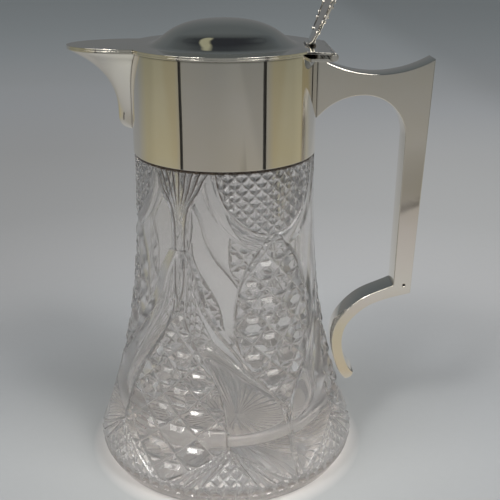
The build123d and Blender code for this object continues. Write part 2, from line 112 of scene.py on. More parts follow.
# %% [markdown]
# ## Node helpers
#
# A material is a small network of nodes. Linking them by hand takes many
# lines, so one short helper adds a node and sets its inputs, and takes
# either a plain value or another node's output for each. The few sums and
# mixes that come back in every finish get short names of their own.

# %% One call per shader node
def list_helpers(*helpers):
    """Print the name and the use of each helper."""
    for helper in helpers:
        print(helper.__name__ + ":", helper.__doc__)


def add_node(tree, kind, settings=None, **inputs):
    """A node with its settings, and its inputs by name, or by number after an i."""
    node = tree.nodes.new(kind)
    for name, value in (settings or {}).items():
        setattr(node, name, value)
    for name, value in inputs.items():
        by_number = name[0] == "i" and name[1:].isdigit()
        socket = node.inputs[int(name[1:]) if by_number else name.replace("_", " ")]
        if isinstance(value, bpy.types.NodeSocket):
            tree.links.new(value, socket)
        else:
            socket.default_value = value
    return node


list_helpers(add_node)


# %% Sums, ranges and ramps
def arithmetic(tree, operation, first, second=0.0, third=0.0):
    """One sum on up to three numbers."""
    node = add_node(tree, "ShaderNodeMath", {"operation": operation}, i0=first, i1=second, i2=third)
    return node.outputs["Value"]


def rescale(tree, value, start, end, low=0.0, high=1.0, smooth=False):
    """A value from start to end, brought to low to high and held there outside."""
    settings = {"interpolation_type": "SMOOTHSTEP"} if smooth else {}
    node = add_node(tree, "ShaderNodeMapRange", settings, Value=value,
                    From_Min=start, From_Max=end, To_Min=low, To_Max=high)
    return node.outputs["Result"]


def ramp(tree, value, stops):
    """A colour ramp through (place, grey or colour) stops."""
    node = add_node(tree, "ShaderNodeValToRGB", Fac=value)
    band = node.color_ramp
    while len(band.elements) < len(stops):
        band.elements.new(0.5)
    for element, (place, tone) in zip(band.elements, stops):
        element.position = place
        element.color = (*tone, 1) if isinstance(tone, tuple) else (tone, tone, tone, 1)
    return node.outputs["Color"]


list_helpers(arithmetic, rescale, ramp)


# %% Colours multiplied, scaled and mixed
def vector_sum(tree, operation, output="Vector", **inputs):
    """One sum on colours or places."""
    node = add_node(tree, "ShaderNodeVectorMath", {"operation": operation}, **inputs)
    return node.outputs[output]


def times(tree, first, second):
    """Two colours multiplied channel by channel."""
    return vector_sum(tree, "MULTIPLY", i0=first, i1=second)


def scaled(tree, colour, amount):
    """A colour made lighter or darker by one number."""
    return vector_sum(tree, "SCALE", i0=colour, Scale=amount)


def length(tree, vector):
    """How long a vector is."""
    return vector_sum(tree, "LENGTH", "Value", i0=vector)


def mixed(tree, share, first, second, way="MIX"):
    """Two colours mixed by a share."""
    settings = {"data_type": "RGBA", "blend_type": way}
    return add_node(tree, "ShaderNodeMix", settings, Factor=share, i6=first, i7=second).outputs[2]


def tinted(tree, tone, share, factor):
    """A tone multiplied by a colour factor as far as the share says."""
    part = add_node(tree, "ShaderNodeMix", {"data_type": "VECTOR"}, Factor=share,
                    i4=(1.0, 1.0, 1.0), i5=factor)
    return times(tree, tone, part.outputs[1])


list_helpers(vector_sum, times, scaled, length, mixed, tinted)


# %% Starting and closing a finish
def new_finish(name):
    """An empty material and its node tree."""
    finish = bpy.data.materials.new(name)
    finish.use_nodes = True
    finish.node_tree.nodes.clear()
    return finish, finish.node_tree


def object_place(tree):
    """The place on the object, in metres."""
    return add_node(tree, "ShaderNodeTexCoord").outputs["Object"]


def patches(tree, place, scale, detail, roughness=0.5):
    """Soft random patches, each about 1 / scale metres wide."""
    node = add_node(tree, "ShaderNodeTexNoise", Vector=place, Scale=scale, Detail=detail,
                    Roughness=roughness)
    return node.outputs["Fac"]


def raised(tree, height, strength, distance, **under):
    """The facing of a skin that is raised where height is high."""
    node = add_node(tree, "ShaderNodeBump", Strength=strength, Distance=distance, Height=height,
                    **under)
    return node.outputs["Normal"]


def coat(tree, **inputs):
    """The shader of a finish, joined to its output."""
    shader = add_node(tree, "ShaderNodeBsdfPrincipled", **inputs)
    add_node(tree, "ShaderNodeOutputMaterial", Surface=shader.outputs["BSDF"])


list_helpers(new_finish, object_place, patches, raised, coat)

# %% [markdown]
# ## Mesh helpers
#
# Much on and round a jug is turned: the table, the stands, the beads. All
# of these are rings of corners with faces between them. They could each
# start from a primitive, but a primitive has to be cut and joined
# afterwards, and rings give the wanted shape at once.

# %% Rings, meshes and pieces
def ring_angles(count):
    """The angles of a ring's corners."""
    return [2 * math.pi * step / count for step in range(count)]


def ring_faces(bm, rings):
    """Faces between rings of corners that each close on themselves."""
    for low, high in zip(rings, rings[1:]):
        for step, corner in enumerate(low):
            after = (step + 1) % len(low)
            bm.faces.new((corner, low[after], high[after], high[step]))


def mesh_from(bm, name):
    """A mesh from the faces built so far."""
    mesh = bpy.data.meshes.new(name)
    bm.to_mesh(mesh)
    bm.free()
    return mesh


def add_piece(name, mesh, *finishes):
    """An object in the scene, with its mesh and finishes."""
    for finish in finishes:
        mesh.materials.append(finish)
    piece = bpy.data.objects.new(name, mesh)
    scene.collection.objects.link(piece)
    return piece


print("corners of a ring of 12, in degrees:", [round(math.degrees(a)) for a in ring_angles(12)])

# %% [markdown]
# ## Table top and backdrop
#
# The jug stands on seamless paper that falls off from pale near the jug to
# slate far behind it. One wide disc does for table and backdrop, because
# the camera looks down on it. It lies a hair under the foot, so that the
# two surfaces never fight for the same place.

# %% A wide round table top
paper_gap = 0.0002


def table_top(radius, ring_count, corner_count):
    """A flat disc of rings that get wider outwards."""
    bm = bmesh.new()
    rings = []
    for ring in range(1, ring_count + 1):
        reach = radius * (ring / ring_count) ** 3
        rings.append([bm.verts.new((reach * math.cos(a), reach * math.sin(a), -paper_gap))
                      for a in ring_angles(corner_count)])
    bm.faces.new(rings[0])
    ring_faces(bm, rings[::-1])
    return mesh_from(bm, "table_top")


table_mesh = table_top(radius=14.0, ring_count=24, corner_count=72)
print("table top faces:", len(table_mesh.polygons))

# %% [markdown]
# ## The tone of the paper
#
# The paper's tone is painted light. A ramp on the length of the position
# makes it fall off with the distance from the jug, as light falls off, and
# keeps it brightest under the foot, where it stands in for the light that
# the glass lets through. A soft patch of painted light keeps the right
# side a little paler, and fine fibres speckle it all.

# %% Tone by distance, patch and fibres
paper, tree = new_finish("seamless_paper")
place = object_place(tree)
axes = add_node(tree, "ShaderNodeSeparateXYZ", i0=place)
along_x, along_y = axes.outputs["X"], axes.outputs["Y"]
reach = length(tree, place)
ramp_end = 3.0
# Painted light: bright out to about 60 mm under the foot, then falling off.
paper_light_falloff = [
    (0.000, (0.93, 0.895, 0.865)),
    (0.0195, (0.93, 0.895, 0.865)),
    (0.0225, (0.44, 0.452, 0.455)),
    (0.05, (0.400, 0.412, 0.425)),
    (0.09, (0.362, 0.366, 0.375)),
    (0.133, (0.313, 0.318, 0.324)),
    (0.20, (0.283, 0.288, 0.294)),
    (0.30, (0.243, 0.253, 0.266)),
    (0.377, (0.213, 0.224, 0.234)),
    (0.487, (0.184, 0.199, 0.210)),
    (0.61, (0.163, 0.179, 0.188)),
    (0.737, (0.150, 0.165, 0.174)),
    (0.89, (0.140, 0.155, 0.163)),
]
tone = ramp(tree, arithmetic(tree, "DIVIDE", reach, ramp_end), paper_light_falloff)
# A patch of painted light, paler to the right and behind the jug.
rightwards = rescale(tree, along_x, -0.24, 0.28, -0.15, 0.15, smooth=True)
behind = ramp(tree, along_y, [(0.0, 0.3), (0.15, 1.0), (0.6, 0.9), (1.0, 0.2)])
patch = arithmetic(tree, "MULTIPLY_ADD", rightwards, behind, 1.0)
fibres = patches(tree, place, 240.0, 3.0)
speck = rescale(tree, fibres, 0.0, 1.0, 0.985, 1.015)
tone = scaled(tree, tone, arithmetic(tree, "MULTIPLY", patch, speck))
print("paper tones end at", paper_light_falloff[-1][0] * ramp_end, "m")

# %% [markdown]
# ## What the silver mirrors on the table
#
# Silver has hardly a colour of its own, so what lies in front of it paints
# it. Farther out on both sides the table gets painted warm light, cream as
# under the warm walls of a room, and the collar shows that as two upright
# cream bands. In front the table gets painted shade, a little warmer and
# darker, which gives the middle of the collar its grey. Far to the right
# more painted shade tones the paper down.

# %% Painted warm light at the sides, painted shade in front
forward = arithmetic(tree, "MULTIPLY", along_y, -1.0)
from_front = arithmetic(tree, "ARCTAN2", arithmetic(tree, "ABSOLUTE", along_x), forward)
half_turns = arithmetic(tree, "DIVIDE", from_front, math.pi)
# Painted warm light: cream at both sides, far out.
warm_light_stops = [(0.275, 0.0), (0.335, 1.0), (0.60, 1.0), (0.72, 0.0)]
at_the_sides = ramp(tree, half_turns, warm_light_stops)
far_out = rescale(tree, reach, 0.34, 0.66, smooth=True)
warm_light_share = arithmetic(tree, "MULTIPLY", at_the_sides, far_out)
tone = tinted(tree, tone, warm_light_share, (1.20, 1.10, 0.78))
# Painted shade in front of the jug.
front_shade_share = rescale(tree, along_y, -0.18, -0.40, smooth=True)
tone = tinted(tree, tone, front_shade_share, (0.92, 0.885, 0.83))
# Painted shade far to the right.
tone = scaled(tree, tone, rescale(tree, along_x, 0.36, 0.50, 1.0, 0.87, smooth=True))
print("cream at these degrees from the front:", [round(stop * 180, 1) for stop, _ in warm_light_stops])

# %% [markdown]
# ## Painted light and shade before the handle
#
# A strip of the table in front of the handle, outside the view, carries
# painted light and shade. Its tones go brighter than paper can be. The
# flat side of the handle mirrors them: cream in the scroll, pinkish in the
# lower bar, and a wobbly painted dark line across the strip makes the
# short dark line across the bar. The strip lies only where the handle sees
# it, along a line that runs out to the right, because the collar would
# show it as well.

# %% The painted light strip and its painted dark line
# Painted light: tones along the strip, some brighter than white paper.
painted_strip_light = ramp(tree, forward, [
    (0.060, (1.0, 1.0, 1.0)),
    (0.077, (0.95, 0.82, 0.64)),
    (0.13, (0.98, 0.90, 0.73)),
    (0.165, (1.02, 0.95, 0.90)),
    (0.20, (1.13, 1.12, 1.12)),
    (0.253, (1.158, 1.13, 1.155)),
    (0.324, (1.18, 1.154, 1.21)),
    (0.375, (1.12, 1.10, 1.14)),
    (0.44, (1.0, 0.98, 0.93)),
    (0.64, (1.0, 1.0, 1.0)),
])
edge_slant = rescale(tree, along_x, 0.078, 0.278, -0.07, 0.07)
line_wobble = rescale(tree, patches(tree, place, 45.0, 2.0), 0.0, 1.0, -0.012, 0.012)
to_edge = arithmetic(tree, "SUBTRACT", forward, edge_slant)
to_edge = arithmetic(tree, "SUBTRACT", to_edge, line_wobble)
# Painted shade: a dark line across the strip, with a wobble.
painted_dark_line = ramp(tree, to_edge, [
    (0.379, 1.0), (0.386, 0.45), (0.392, 0.48), (0.402, 0.74),
    (0.478, 0.775), (0.53, 0.85), (0.58, 0.96), (0.62, 1.0)])
across_strip = arithmetic(tree, "SUBTRACT", along_x, arithmetic(tree, "MULTIPLY", forward, 0.26))
on_strip = ramp(tree, across_strip, [(0.020, 0.0), (0.035, 1.0), (0.105, 1.0), (0.125, 0.0)])
tone = tinted(tree, tone, on_strip, scaled(tree, painted_strip_light, painted_dark_line))
coat(tree, Base_Color=tone, Roughness=0.9, Normal=raised(tree, fibres, 0.15, 0.0002),
     Specular_IOR_Level=0.1)

table = add_piece("table_top", table_mesh, paper)
table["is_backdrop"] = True
print("paper nodes:", len(tree.nodes))

# %% [markdown]
# ## Light
#
# Polished silver is only as bright as what it mirrors. The collar mirrors
# the paper in front of the jug, the lid mirrors the room above it, and the
# cut glass needs something bright and something dark to sparkle between.
# Two broad soft lamps stand in front, left and right, high enough not to
# show in the collar, and each has a small bright heart that makes the
# glints on the button tops and on the rim of the lid.

# %% Broad lamps with small hearts
def soft_lamp(name, bearing, height, spread, strength, colour):
    """A sun lamp with a wide disc, by its bearing from +X and its height in degrees."""
    light = bpy.data.lights.new(name, "SUN")
    light.energy = strength
    light.angle = math.radians(spread)
    light.color = colour
    lamp = bpy.data.objects.new(name, light)
    a, e = math.radians(bearing), math.radians(height)
    towards = Vector((math.cos(a) * math.cos(e), math.sin(a) * math.cos(e), math.sin(e)))
    lamp.rotation_mode = "QUATERNION"
    lamp.rotation_quaternion = towards.to_track_quat("Z", "Y")
    scene.collection.objects.link(lamp)
    return math.sin(e) * strength / math.pi


room_share = 0.1
level = room_share
level += soft_lamp("lamp_left", -148, 46, 40, 1.45, (1.0, 0.985, 0.96))
level += soft_lamp("lamp_right", -38, 50, 40, 1.72, (1.0, 0.98, 0.95))
level += soft_lamp("heart_left", -133, 48, 11, 0.45, (1.0, 0.99, 0.97))
level += soft_lamp("heart_right", -45, 50, 11, 0.45, (1.0, 0.99, 0.97))
print("light on the table, 1 is plain:", round(level, 2))

# %% [markdown]
# ## The room overhead
#
# The room above is dim, so the lid stays darker than the collar. A long
# bowed beam overhead draws the dark lens on the dome, with one cream pane
# beside it. A room could be modelled for this, but only its reflection
# shows, so the world's colour by direction is enough.

# %% Dim walls
room = bpy.data.worlds.new("dim_room")
scene.world = room
room.use_nodes = True
tree = room.node_tree
tree.nodes.clear()
towards = add_node(tree, "ShaderNodeTexCoord").outputs["Generated"]
compass = add_node(tree, "ShaderNodeSeparateXYZ", i0=towards)
sideways, ahead, up = (compass.outputs[axis] for axis in "XYZ")
wall_tones = [
    (0.0, (0.160, 0.164, 0.168)),
    (0.35, (0.115, 0.128, 0.138)),
    (0.60, (0.092, 0.107, 0.119)),
]
walls = ramp(tree, up, wall_tones)
overhead = rescale(tree, up, 0.2, 0.4)
print("walls, from level to overhead:", [tone for _, tone in wall_tones])


# %% The bowed beam and the cream pane
def bowed(x, second_power, fourth_power):
    """A curve that is level in the middle and bends the same way at both ends."""
    square = arithmetic(tree, "MULTIPLY", x, x)
    gentle = arithmetic(tree, "MULTIPLY", square, second_power)
    steep = arithmetic(tree, "MULTIPLY", arithmetic(tree, "MULTIPLY", square, square), fourth_power)
    return arithmetic(tree, "ADD", gentle, steep)


beam_ahead = arithmetic(tree, "SUBTRACT", ahead, 0.215)
off_beam = arithmetic(tree, "SUBTRACT", beam_ahead, bowed(sideways, 0.8, 4.0))
off_beam = arithmetic(tree, "ABSOLUTE", off_beam)
tapered = arithmetic(tree, "ADD", off_beam, bowed(sideways, 0.10, 1.6))
beam = ramp(tree, tapered, [
    (0.0, (0.25, 0.24, 0.27)), (0.02, (0.25, 0.24, 0.27)), (0.05, (0.36, 0.36, 0.38)),
    (0.11, (0.68, 0.68, 0.68)), (0.30, (1.0, 1.0, 1.0))])
pane_middle, pane_half = (-0.24, 0.275, 0), (0.12, 0.06)
from_pane = vector_sum(tree, "SUBTRACT", i0=towards, i1=pane_middle)
in_pane = length(tree, times(tree, from_pane, (1 / pane_half[0], 1 / pane_half[1], 0)))
pane = ramp(tree, in_pane, [(0.6, (0.26, 0.26, 0.18)), (1.0, (0.0, 0.0, 0.0))])
with_beam = mixed(tree, overhead, walls, beam, "MULTIPLY")
with_pane = mixed(tree, overhead, with_beam, pane, "ADD")
glow = add_node(tree, "ShaderNodeBackground", Color=with_pane, Strength=1.0)
add_node(tree, "ShaderNodeOutputWorld", Surface=glow.outputs["Background"])
print("room nodes:", len(tree.nodes))

# %% [markdown]
# ## Stands beside the jug
#
# A polished collar shows two thin dark upright lines, which are lamp
# stands left and right of the jug and out of the picture. Painting lines
# on the silver would make them stay in place from every side, so two real
# stands are put there, and only mirrors see them.

# %% Two slim stands that only reflections show
def stand(name, bearing, distance, width, height, finish):
    """A slim upright post with a slightly wider foot."""
    bm = bmesh.new()
    rings = []
    for level_up, share in ((0.0, 1.3), (0.01, 1.3), (0.016, 1.0), (height, 1.0)):
        half = width / 2 * share
        rings.append([bm.verts.new((half * math.cos(a), half * math.sin(a), level_up))
                      for a in ring_angles(12)])
    ring_faces(bm, rings)
    bm.faces.new(rings[-1])
    post = add_piece(name, mesh_from(bm, name), finish)
    a = math.radians(bearing)
    post.location = (distance * math.cos(a), distance * math.sin(a), 0)
    post.visible_camera = False
    post.visible_diffuse = False
    post.visible_shadow = False
    post.visible_transmission = False
    post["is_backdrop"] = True
    return post


dull_black, tree = new_finish("dull_black")
dust = add_node(tree, "ShaderNodeTexNoise", Scale=60.0, Detail=2.0).outputs["Fac"]
coat(tree, Base_Color=ramp(tree, dust, [(0.3, 0.03), (0.8, 0.05)]), Roughness=0.7)
for name, bearing, width in (("stand_left", -142, 0.030), ("stand_right", -43, 0.034)):
    post = stand(name, bearing, distance=0.45, width=width, height=0.5, finish=dull_black)
    print(name, "stands at", [round(v, 3) for v in post.location])

# %% [markdown]
# ## Polished silver
#
# Sterling silver that has been polished for a century is nearly a mirror,
# but not quite: it is faintly warm where tarnish lingers, covered in hair
# scratches from the cloth, and gently uneven where it was planished.
# Edges are rubbed soft. Noise at three sizes gives the three effects, and
# a Bevel node rounds the look of the CAD edges without touching the mesh.
# A short-range occlusion darkens the soldered joins and the gap under the
# rim of the lid: partly tarnish, partly painted shade.

# %% The silver finish
def silver_finish(name, bright, warm, soft_edge, seam_width):
    """Old polished silver between a bright and a warmer tone."""
    finish, tree = new_finish(name)
    place = object_place(tree)
    rubbed = ramp(tree, patches(tree, place, 22.0, 4.0, 0.6), [(0.3, bright), (0.75, warm)])
    # Darker where other silver is near: part tarnish, part painted shade.
    nearby = add_node(tree, "ShaderNodeAmbientOcclusion", {"samples": 6}, Distance=seam_width)
    seam_tarnish_and_shade = ramp(tree, nearby.outputs["AO"],
                 [(0.46, (0.07, 0.055, 0.04)), (0.84, (1.0, 1.0, 1.0))])
    gloss = rescale(tree, patches(tree, place, 70.0, 5.0, 0.65), 0.3, 0.75, 0.02, 0.065)
    planished = patches(tree, place, 26.0, 1.0)
    stretched = add_node(tree, "ShaderNodeMapping", Vector=place, Scale=(900.0, 900.0, 90.0),
                         Rotation=(0.5, 0.3, 0.0)).outputs["Vector"]
    hairs = patches(tree, stretched, 1.0, 2.0)
    edge = add_node(tree, "ShaderNodeBevel", {"samples": 4}, Radius=soft_edge).outputs["Normal"]
    waves = raised(tree, planished, 0.35, 0.0005, Normal=edge)
    scratches = raised(tree, hairs, 0.06, 0.00002, Normal=waves)
    coat(tree, Base_Color=times(tree, rubbed, seam_tarnish_and_shade), Metallic=1.0, Roughness=gloss,
         Normal=scratches)
    return finish


silver = silver_finish("polished_silver", bright=(0.93, 0.893, 0.825), warm=(0.90, 0.84, 0.715),
                       soft_edge=0.00025, seam_width=0.0016)
print("silver nodes:", len(silver.node_tree.nodes))

# %% [markdown]
# ## Lead crystal
#
# Lead crystal bends light more than window glass, which is why it is cut:
# each facet throws a different piece of the room at the eye. Its own
# colour is almost nothing, a trace of warm grey in the thick foot. Painted
# dark brown shade lies in the bottoms of the grooves, and a painted shadow
# just under the collar. How hollow the mesh is at a point, its
# pointiness, finds those bottoms.

# %% The tint of the glass and the painted shade in its grooves
crystal, tree = new_finish("lead_crystal")
place = object_place(tree)
height = add_node(tree, "ShaderNodeSeparateXYZ", i0=place).outputs["Z"]
up_the_glass = arithmetic(tree, "DIVIDE", height, 0.16)
thin_stops = [(0.3, (0.998, 0.980, 0.966)), (0.7, (1.0, 0.988, 0.978))]
thin_tint = ramp(tree, patches(tree, place, 14.0, 2.0), thin_stops)
in_foot = ramp(tree, up_the_glass, [(0.002, 0.0), (0.008, 1.0), (0.045, 1.0), (0.062, 0.0)])
body_tint = mixed(tree, in_foot, thin_tint, (0.93, 0.865, 0.82, 1))
# Painted shade in the groove bottoms, and a painted shadow under the collar.
pointiness = add_node(tree, "ShaderNodeNewGeometry").outputs["Pointiness"]
hollows = rescale(tree, pointiness, 0.493, 0.462)
groove_shade_by_height = ramp(tree, up_the_glass, [(0.02, 0.0), (0.04, 0.75), (0.80, 0.80), (0.955, 1.0)])
painted_collar_shadow = rescale(tree, height, 0.1530, 0.1537)
painted_groove_shade = arithmetic(tree, "MAXIMUM", arithmetic(tree, "MULTIPLY", hollows, groove_shade_by_height), painted_collar_shadow)
glass_colour = mixed(tree, painted_groove_shade, body_tint, (0.075, 0.052, 0.036, 1))
print("crystal nodes so far:", len(tree.nodes))

# %% [markdown]
# ## Bloom and wear on the crystal
#
# Years of wine and water leave a faint white bloom, thickest in the base,
# which is a little light scattered instead of let through. The wheel
# leaves a trace of haze in the cuts, and the ring that the jug stands on
# is rubbed dull by the table. All three are shares of light that doesn't
# pass straight, so they go to transmission and roughness, not to colour.

# %% The crystal's surface
wheel = patches(tree, place, 320.0, 2.0)
haze = rescale(tree, wheel, 0.0, 1.0, 0.0, 0.03)
rubbed_ring = rescale(tree, height, 0.0009, 0.0002, 0.0, 0.45)
open_bloom = rescale(tree, patches(tree, place, 30.0, 4.0), 0.3, 0.7, 0.945, 0.92)
base_bloom = rescale(tree, height, 0.040, 0.014, 1.0, 0.86, smooth=True)
# Less light passes where the painted shade is, so it stays dark.
through_painted_shade = rescale(tree, painted_groove_shade, 0.0, 1.0, 1.0, 0.30)
clear = arithmetic(tree, "MULTIPLY", open_bloom, base_bloom)
passing = arithmetic(tree, "MULTIPLY", clear, through_painted_shade)
dulled = arithmetic(tree, "ADD", haze, rubbed_ring)
coat(tree, Base_Color=glass_colour, Roughness=dulled, IOR=1.54, Transmission_Weight=passing,
     Normal=raised(tree, wheel, 0.12, 0.00008))
print("crystal nodes:", len(tree.nodes))

# %% [markdown]
# ## Plaster
#
# The collar is bedded on the ground neck in a ring of plaster. It is chalky
# and full of pits, so a coarse grain drives both its tone and its relief.

# %% The plaster finish
plaster, tree = new_finish("neck_plaster")
grain = patches(tree, object_place(tree), 500.0, 4.0)
chalk = ramp(tree, grain, [(0.3, (0.62, 0.60, 0.55)), (0.7, (0.74, 0.72, 0.67))])
coat(tree, Base_Color=chalk, Roughness=0.85, Normal=raised(tree, grain, 0.5, 0.0002))
print("plaster nodes:", len(tree.nodes))

# %% [markdown]
# ## The blank before cutting
#
# A blown blank is thick and smooth, and the cutter grinds the pattern into
# it. The mesh is made the same way: first the plain flare as a radius for
# each height, then a depth for each cut, and the deeper cut wins where two
# meet. One fine grid of points carries it all, which keeps every groove
# crisp without hundreds of separate cutting tools.

# %% The plain flare of the glass, in millimetres
body_top = 155.0
girth_height = 10.9
girth_radius = 64.9
shoulder_radius = 41.7


def flare(height):
    """Outer radius of the uncut glass at a height."""
    drop = np.clip((body_top - height) / (body_top - girth_height), 0, None)
    return shoulder_radius + (girth_radius - shoulder_radius) * drop ** 2.42


print("blank radius at the shoulder and the girth:", flare(body_top), flare(girth_height))

# %% [markdown]
# ## Grooves
#
# A mitre wheel leaves a V groove, a round-edged wheel leaves a hollow.
# Both are functions of the distance from the middle of the cut: the V
# falls off in a straight line and the hollow like a shallow bowl.

# %% A V groove, a hollow and a row of V grooves
def mitre(distance, half_width, depth):
    """Depth of a V groove at a distance from its middle line."""
    return depth * np.clip(1 - np.abs(distance) / half_width, 0, None)


def hollow(share, depth):
    """Depth of a round-bottomed cut, from one edge (0) to the other (1)."""
    inside = (share > 0) & (share < 1)
    return np.where(inside, depth * (1 - (2 * share - 1) ** 2), 0)


def comb(count, steepness, half_width, depth):
    """V grooves wherever a steadily rising count passes a whole number."""
    away = np.abs(count - np.round(count)) / steepness
    return mitre(away, half_width, depth)


print("a mitre 1 mm deep, half way up its side:", mitre(0.5, 1.0, 1.0), "mm")

# %% [markdown]
# ## Outlines from listed points
#
# The edges of the ovals, the fan and the sweep are free curves. A few
# points with the height and the angle give each, and a smooth line runs
# through them, so an outline is changed by moving one point. The grooves
# have to keep their width where an outline leans, so distances are taken
# square to it, from the slope of the outline's own line.

# %% A smooth line through points, and the distance to it
def curve(height, table):
    """A smooth line through (height, value) pairs."""
    heights = np.array([pair[0] for pair in table], float)
    values = np.array([pair[1] for pair in table], float)
    order = np.argsort(heights)
    heights, values = heights[order], values[order]
    slopes = np.gradient(values, heights)
    spot = np.clip(np.searchsorted(heights, height) - 1, 0, len(heights) - 2)
    span = heights[spot + 1] - heights[spot]
    t = np.clip((height - heights[spot]) / span, 0, 1)
    near, far = (1 + 2 * t) * (1 - t) ** 2, t * t * (3 - 2 * t)
    near_slope, far_slope = t * (1 - t) ** 2 * span, t * t * (t - 1) * span
    level = near * values[spot] + far * values[spot + 1]
    return level + near_slope * slopes[spot] + far_slope * slopes[spot + 1]


def to_outline(angle, outline_angle, height, per_degree):
    """Distance in mm from points to an outline given as an angle for each row of heights."""
    rows = height[:, 0]
    lean = np.gradient(outline_angle[:, 0] * per_degree[:, 0], rows)[:, None]
    return (angle - outline_angle) * per_degree / np.sqrt(1 + lean ** 2)


print("half way between two points:", curve(np.array([5.0]), [(0, 0), (10, 1), (20, 2)]))

# %% [markdown]
# ## The layout of the pattern
#
# The pattern repeats three times round the jug, and each third is the
# same left and right. So a point needs only its height and how many
# degrees it is from the middle of a third. On that middle line stand a
# half-round panel of small diamonds under the collar and a tall oval of
# hexagonal buttons. Between the thirds a fan runs down from the collar
# into a second oval. A long curved mitre sweeps between them.

# %% Outlines of the pattern: height in mm, then degrees from the middle line
first_axis = -59.3
notch_count = 66
tall_oval = [(125, 0), (123.4, 4.2), (119.7, 8.3), (111.8, 16.5), (103, 21.9), (96, 24.3),
             (88, 25.4), (79, 25.2), (71, 22.8), (63, 17.8), (50, 6), (40, 0)]
sweep_line = [(117, 56.8), (108.75, 51.25), (93.75, 45), (81.25, 35), (71.25, 25), (62.5, 17.5),
              (55, 10), (46.25, 3.75), (36.25, 1.25), (17.5, 0.6), (10, 0)]
low_oval = [(95, 3), (87.5, 4), (77.5, 9), (68.75, 15.25), (60, 21.5), (51, 26), (38.75, 28.4),
            (28.5, 29)]
fan_edge = [(155, 20.5), (152, 17.1), (145, 12), (142.5, 9.75), (138.75, 6.5), (132, 4),
            (125, 3.3), (117, 3.2), (108, 3.0), (100, 2.5), (92, 0)]
outline_points = len(tall_oval) + len(sweep_line) + len(low_oval) + len(fan_edge)
print("points of the outlines:", outline_points)

# %% [markdown]
# ## Panels and ovals
#
# Small diamonds come from two families of grooves that cross. Hexagonal
# buttons come from three: one level, two slanting, spaced so that a flat
# top is left in the middle of each cell. The flat tops catch the light
# while the grooves between them stay dark, and that is the sparkle.

# %% Small diamonds and hexagonal buttons
button_degrees = 20
button_rise = 17
row_rise = 8.5


def small_diamonds(around, height, per_degree, pitch, rise, half_width, depth):
    """Two crossing families of V grooves, pitch in degrees and rise in mm."""
    steep = np.hypot(1 / (pitch * per_degree), 1 / rise)
    left = comb(around / pitch + height / rise, steep, half_width, depth)
    right = comb(around / pitch - height / rise, steep, half_width, depth)
    return np.maximum(left, right)


def buttons(around, height, per_degree):
    """Three families of V grooves that leave flat hexagonal tops."""
    level_rows = comb((height - 28) / row_rise, 1 / row_rise, 2.3, 1.4)
    steep = np.hypot(1 / (button_degrees * per_degree), 1 / button_rise)
    across = (around + 75) / button_degrees
    upwards = (height - 32.25) / button_rise
    left = comb(across + upwards - 0.5, steep, 3.0, 1.6)
    right = comb(across - upwards - 0.5, steep, 3.0, 1.6)
    return np.maximum(level_rows, np.maximum(left, right))


print("buttons are", row_rise, "mm from row to row")

# %% [markdown]
# ## Ground cuts
#
# Each region of the pattern is a yes-or-no mask over the grid, and each
# cut adds its depth where its mask says so. Taking the larger depth at
# every point is what a grinding wheel does, because glass that is gone
# can't be ground again. The first region is the half-round panel of small
# diamonds that hangs from the collar in the middle of each third.

# %% The half-round panel
panel_half_width = 26.5
panel_drop = 30.0
outline_half = 1.2
outline_depth = 1.1


def cut(depth, where, amount):
    """Keep the deeper of what is there and a new cut, inside a mask."""
    np.maximum(depth, np.where(where, amount, 0), out=depth)


def cut_panel(depth, turned, height, per_degree):
    """Small diamonds inside a half oval, with its outline and a hollow round it."""
    across, down = np.abs(turned) * per_degree, body_top - height
    share = np.sqrt((across / panel_half_width) ** 2 + (down / panel_drop) ** 2) + 1e-9
    slope_across, slope_down = across / panel_half_width ** 2, down / panel_drop ** 2
    arc = (share - 1) * share / np.sqrt(slope_across ** 2 + slope_down ** 2 + 1e-12)
    diamonds = small_diamonds(turned, height - body_top + 2.9, per_degree,
                              pitch=8.4, rise=5.8, half_width=1.5, depth=1.05)
    cut(depth, arc < 0, diamonds)
    cut(depth, arc > -2, mitre(arc, outline_half, outline_depth))
    cut(depth, arc > 0, hollow((arc - 0.6) / 6.5, 0.7))


print("panel of small diamonds, mm:", 2 * panel_half_width, "by", panel_drop)

# %% [markdown]
# ## Fan and tall oval
#
# Between the thirds a fan of long blades spreads towards the collar. Its
# blades are a fixed share of its width, so they narrow into the stem. The
# tall oval is filled with buttons down to where the long sweep crosses it.

# %% The fan, the tall oval and the sweep
fan_foot_height = 92
blades_each_side = 4
oval_top = 125


def cut_fan(depth, off_line, height, per_degree):
    """Blades of the fan with its outline; gives back where the fan is."""
    half = np.clip(curve(height, fan_edge), 0.02, None)
    in_fan = (off_line < half) & (height > fan_foot_height)
    edge = to_outline(off_line, half, height, per_degree)
    blade_width = half * per_degree / blades_each_side
    blade = off_line / half * blades_each_side
    from_groove = np.abs(blade - np.round(blade)) * blade_width
    groove_half = np.clip(blade_width / 2, 0.25, 1.5)
    groove_depth = np.clip(0.45 * blade_width, 0.15, 1.15)
    cut(depth, in_fan, mitre(from_groove, groove_half, groove_depth))
    cut(depth, height > fan_foot_height - 2, mitre(edge, outline_half, outline_depth))
    return in_fan


def cut_tall_oval(depth, around, off_middle, height, per_degree, sweep):
    """Buttons in the tall oval, above the sweep."""
    oval = np.where(height < oval_top, curve(height, tall_oval), -5)
    oval = np.clip(oval, -5, 40)
    rim = to_outline(off_middle, oval, height, per_degree)
    in_height = (height < oval_top) & (height > 34)
    in_oval = in_height & (off_middle < oval) & (off_middle < sweep)
    cut(depth, in_oval, buttons(around, height, per_degree))
    above_sweep = off_middle < sweep + 0.5
    cut(depth, above_sweep & (height < oval_top + 1), mitre(rim, outline_half, outline_depth))


